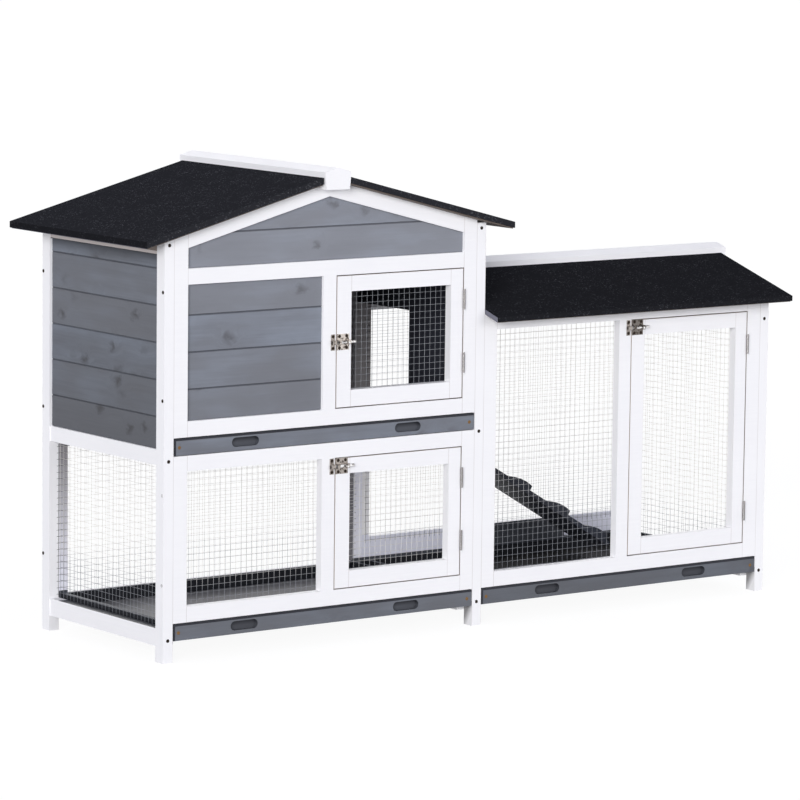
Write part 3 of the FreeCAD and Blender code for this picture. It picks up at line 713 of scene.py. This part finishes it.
def galvanised(name, shine=1.0, soiled=SOILED_BELOW, lap=None):
    """Zinc coat with blotches of duller spangle along the wire.

    Soiled is the height that the wire is grey up to and the one that it is clean from; lap is the limits in
    x and z beyond which it lies on a frame, painted dark with shadow there.
    """
    finish = material(name)
    x, y, z = spot = finish.spot()
    spangle = finish.noise(spot, SPANGLE_RATE, detail=3.0)
    clean = finish.mix(spangle, shaded(ZINC, shine), shaded(ZINC_DULL, shine))
    tone = finish.mix(finish.band(z, *soiled), ZINC_SOILED, clean)
    if lap:
        across, up = lap
        # Painted shadow where the panel lies on a frame.
        tone = finish.mix(x.within(*across) * z.within(*up), ZINC_LAP_SHADOW, tone)
    return finish.surface(Base_Color=tone, Metallic=0.25, Roughness=spangle.spread(*ZINC_ROUGH),
                          Height=spangle * SPANGLE_RELIEF)


def skin(name, points, finish):
    """A new piece at the origin from stacks of rings; the array's axes are stack, ring, side and coordinate.

    Each ring joins the next by a band of quads, and a face closes each end of a stack.
    """
    ring = np.arange(points[..., 0].size).reshape(points.shape[:3])
    following = np.roll(ring, -1, axis=2)
    bands = np.stack([ring[:, :-1], ring[:, 1:], following[:, 1:], following[:, :-1]], axis=-1).reshape(-1, 4)
    ends = np.concatenate([ring[:, 0], ring[:, -1, ::-1]])
    mesh = bpy.data.meshes.new(name)
    mesh.from_pydata(points.reshape(-1, 3).tolist(), [], bands.tolist() + ends.tolist())
    mesh.update()
    mesh.polygons.foreach_set("use_smooth", np.ones(len(mesh.polygons), dtype=bool))
    mesh.materials.append(finish)
    piece = bpy.data.objects.new(name, mesh)
    bpy.context.collection.objects.link(piece)
    return piece


def wires(starts, ends, seed):
    """Round wires between pairs of points: rings of a circle carried along each line.

    Point = start + (end - start) t + bend * sum of two slow sines of t + radius (cos a * side + sin a * up).
    """
    rng = np.random.default_rng(seed)
    count = len(starts)
    t = np.linspace(0.0, 1.0, WIRE_RINGS)[None, :, None]
    line = starts[:, None, :] + (ends - starts)[:, None, :] * t
    direction = (ends - starts) / np.linalg.norm(ends - starts, axis=1, keepdims=True)
    helper = np.where(np.abs(direction[:, 2:]) > UPRIGHT, [[1.0, 0.0, 0.0]], [[0.0, 0.0, 1.0]])
    side = np.cross(direction, helper)
    up = np.cross(side, direction)
    phase = rng.uniform(0.0, 2 * pi, (count, 1, 1))
    rate = rng.uniform(*SWAY_RATE, (count, 1, 1))
    sway = np.sin(2 * pi * rate * t + phase) + 0.5 * np.sin(4.3 * pi * rate * t + 2 * phase)
    line = line + WIRE_BEND * sway * rng.uniform(*SWAY_SHARE, (count, 1, 1)) * up[:, None, :]
    angle = np.linspace(0.0, 2 * pi, WIRE_SIDES, endpoint=False)[None, None, :, None]
    circle = np.cos(angle) * side[:, None, None, :] + np.sin(angle) * up[:, None, None, :]
    return line[:, :, None, :] + WIRE_RADIUS * circle


def wire_panel(node, inward, seed):
    """Wires of one mesh panel, in the two layers that its CAD box holds: uprights outside, levels inside."""
    low, high = (np.array(corner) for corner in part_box(node))
    run = 0 if high[0] - low[0] > high[1] - low[1] else 1
    deep = 1 - run
    outer = low[deep] + CAD_WIRE / 2 if inward > 0 else high[deep] - CAD_WIRE / 2
    inner = outer + inward * CAD_WIRE * WELD
    starts, ends = [], []
    for axis, layer in ((run, outer), (2, inner)):
        span = high[axis] - low[axis] - CAD_WIRE
        count = int(span / WIRE_PITCH + ROUNDING)
        first = low[axis] + CAD_WIRE / 2 + (span - count * WIRE_PITCH) / 2
        start = np.tile(low, (count + 1, 1))
        end = np.tile(high, (count + 1, 1))
        start[:, axis] = end[:, axis] = first + np.arange(count + 1) * WIRE_PITCH
        start[:, deep] = end[:, deep] = layer
        starts.append(start)
        ends.append(end)
    return wires(np.concatenate(starts), np.concatenate(ends), seed)


def lap_limits(node, left, margin):
    """The limits in x and z of a panel's free field, inside the margin that laps its frame."""
    low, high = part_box(node)
    return (low[0] + left, high[0] - margin), (low[2] + margin, high[2] - margin)


zinc = galvanised("galvanised_wire")
run_lap = lap_limits("run_back_mesh", RUN_BACK_LAP, RUN_BACK_LAP)
house_lap = lap_limits("lower_back_mesh", BACK_LAP + BACK_STILE, BACK_LAP)
wire_finishes = {"run_back_mesh": galvanised("run_back_wire", lap=run_lap),
                 "lower_back_mesh": galvanised("house_back_wire", lap=house_lap),
                 "run_front_mesh": galvanised("run_front_wire", soiled=RUN_SOILED_BELOW),
                 "upper_door_mesh": galvanised("upper_door_wire", UPPER_SHINE)}
for seed, (node, inward, body) in enumerate(PANELS):
    panel = skin(node + "_wires", wire_panel(node, inward, seed), wire_finishes.get(node, zinc))
    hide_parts(node)
    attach(panel, body)


# Hinges and bolts: pressed steel with bright nickel plate, much rubbed, so that it is nearly black in the
# hollows. They are screwed to the doors and frames. The hinges' plate has dulled all over.
NICKEL = (0.80, 0.79, 0.79)
NICKEL_DULL = (0.36, 0.325, 0.30)
NICKEL_WORN = (0.055, 0.043, 0.034)
HINGE_GREY = (0.23, 0.22, 0.22)
LATCH_PAINTED_LIGHT = {"upper": 1.55, "lower": 1.05, "run": 0.48}
PAST_THE_HUTCH = 9.0
NICKEL_ROUGH = (0.18, 0.43)
PATCH_RATE = 190.0
PATCH_REACH = (0.51, 0.65)
PATCH_RELIEF = 0.0003
SCRATCH_RATE = (2000.0, 2000.0, 180.0)
SCRATCH_RELIEF = 0.00002


def nickel_plate(name, bright, dull_from=PAST_THE_HUTCH):
    """Plate with dark rubbed patches and fine scratches, dull grey to the right of a place in x."""
    finish = material(name)
    x, y, z = spot = finish.spot()
    patch = finish.noise(spot, PATCH_RATE, detail=4.0)
    scratch = finish.noise(spot, SCRATCH_RATE, detail=2.0)
    tone = finish.mix(finish.band(patch, *PATCH_REACH), bright, NICKEL_WORN)
    tone = finish.mix(x > dull_from, tone, HINGE_GREY)
    return finish.surface(Base_Color=tone, Metallic=1.0, Roughness=scratch.spread(*NICKEL_ROUGH),
                          Height=scratch * SCRATCH_RELIEF + patch * PATCH_RELIEF)


coat(["fixed_hinge_leaves", "ramp_hinge_leaf"], nickel_plate("hinge_plate", NICKEL_DULL, -PAST_THE_HUTCH))
coat(["latch_keepers"], nickel_plate("keeper_plate", NICKEL_DULL))
coat([room + "_door_bolt" for room in ROOMS], nickel_plate("bolt_plate", NICKEL))
# Each latch plate's dull nickel is scaled by its own factor, lightest on the upper door: painted light and
# shade.
for room, latch_light in LATCH_PAINTED_LIGHT.items():
    low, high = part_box(room + "_door_frame")
    plate = nickel_plate(room + "_latch_plate", shaded(NICKEL_DULL, latch_light), (low[0] + high[0]) / 2)
    coat([room + "_door_hardware"], plate)


# Screws: cross-headed wood screws, whose domed heads stand a hair proud. Those in the posts and latches are
# browned or painted over, those that hold the tray fronts to their pans are brass. Each row of screws is one
# piece on the body that it is driven into.
SCREW_RINGS = (0.05, 0.22, 0.40, 0.56, 0.62, 0.90, 1.0, 1.02)
SCREW_SIDES = 24
SCREW_DOME = 0.30
SCREW_PROUD = 0.10
SCREW_EDGE = 1.01
SCREW_CROSS = 0.17
SCREW_CROSS_REACH = 0.6
SCREW_SINK = 0.22
POST_SCREW = 0.0034
TRAY_SCREW = 0.0034
LATCH_SCREW = 0.0032
BROWNED = (0.030, 0.019, 0.013)
BRASS = (0.30, 0.17, 0.07)
PAINTED = (0.82, 0.81, 0.82)
SCREW_ROUGH = (0.45, 0.75)
BLOTCH_RATE = 400.0
BLOTCH_SHADE = 0.45
POST_SCREWS = {"front_left_post": (0.043, 0.384, 0.791), "front_middle_post": (0.048, 0.389, 0.791),
               "front_right_post": (0.043, 0.570)}
SIDE_SCREWS = {"front_left_post": (0.005, (0.499, 0.703)), "back_left_post": (0.023, (0.151, 0.441, 0.706))}
PAINTED_SCREWS = {"front_left_post": (0.005, (0.149, 0.320))}
TRAY_SCREW_INSET = 0.0115
TRAY_SCREW_DROP = 0.001
LATCH_COLUMNS = (0.0055, 0.0225)
KEEPER_COLUMN = -0.0095
LATCH_ROW = 0.0112
LATCH_PLATE = 0.0012


def screw_heads(places, outward, radius):
    """Heads in a plane that faces -Y or -X: polar grids with a dome and a sunk cross.

    Height at (r, a), in radii = dome (1 - r^2), plus proud where r < edge, less the sink where r < the
    cross's reach and r min(|cos a|, |sin a|) < cross.
    """
    turn = np.linspace(0.0, 2 * pi, SCREW_SIDES, endpoint=False)[None, :]
    reach = np.array(SCREW_RINGS)[:, None]
    beside = reach * np.minimum(np.abs(np.cos(turn)), np.abs(np.sin(turn)))
    cut = (reach < SCREW_CROSS_REACH) & (beside < SCREW_CROSS)
    height = SCREW_DOME * (1 - reach ** 2) + SCREW_PROUD * (reach < SCREW_EDGE) - SCREW_SINK * cut
    across, rise = reach * np.cos(turn), reach * np.sin(turn)
    local = [-height, -across, rise] if outward == "x" else [across, -height, rise]
    return np.array(places)[:, None, None, :] + radius * np.stack(local, axis=-1)


def screw_metal(name, colour):
    """Dull metal, darker in blotches."""
    finish = material(name)
    blotch = finish.noise(finish.spot(), BLOTCH_RATE, detail=3.0)
    tone = finish.mix(blotch, colour, shaded(colour, BLOTCH_SHADE))
    return finish.surface(Base_Color=tone, Roughness=blotch.spread(*SCREW_ROUGH), Specular_IOR_Level=0.15)


def drive(name, places, outward, radius, finish, body):
    """Make one row of screws and fix it to a body."""
    row = skin(name, screw_heads(places, outward, radius), finish)
    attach(row, body)


browned = screw_metal("browned_screw", BROWNED)
brass = screw_metal("brass_screw", BRASS)
painted = screw_metal("painted_screw", PAINTED)
front_places = []
for post, heights in POST_SCREWS.items():
    low, high = post_limits[post]
    front_places += [((low[0] + high[0]) / 2, low[1], height) for height in heights]
drive("post_screws", front_places, "y", POST_SCREW, browned, "hutch")
for row, screws, finish in (("side_post_screws", SIDE_SCREWS, browned),
                            ("painted_post_screws", PAINTED_SCREWS, painted)):
    side_places = []
    for post, (inset, heights) in screws.items():
        low, high = post_limits[post]
        side_places += [(low[0], low[1] + inset, height) for height in heights]
    drive(row, side_places, "x", POST_SCREW, finish, "hutch")

for room in ROOMS:
    low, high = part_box(room + "_tray_front")
    level = (low[2] + high[2]) / 2 - TRAY_SCREW_DROP
    ends = [(low[0] + TRAY_SCREW_INSET, low[1], level), (high[0] - TRAY_SCREW_INSET, low[1], level)]
    drive(room + "_tray_screws", ends, "y", TRAY_SCREW, brass, room + "_tray")

for room in ROOMS:
    low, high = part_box(room + "_door_frame")
    bolt_low, bolt_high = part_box(room + "_door_bolt")
    level = (bolt_low[2] + bolt_high[2]) / 2
    rows = (level - LATCH_ROW, level + LATCH_ROW)
    face = low[1] - LATCH_PLATE
    plate_places = [(low[0] + column, face, row) for column in LATCH_COLUMNS for row in rows]
    keeper_places = [(low[0] + KEEPER_COLUMN, face, row) for row in rows]
    drive(room + "_latch_screws", plate_places, "y", LATCH_SCREW, browned, room + "_door")
    drive(room + "_keeper_screws", keeper_places, "y", LATCH_SCREW, browned, "hutch")
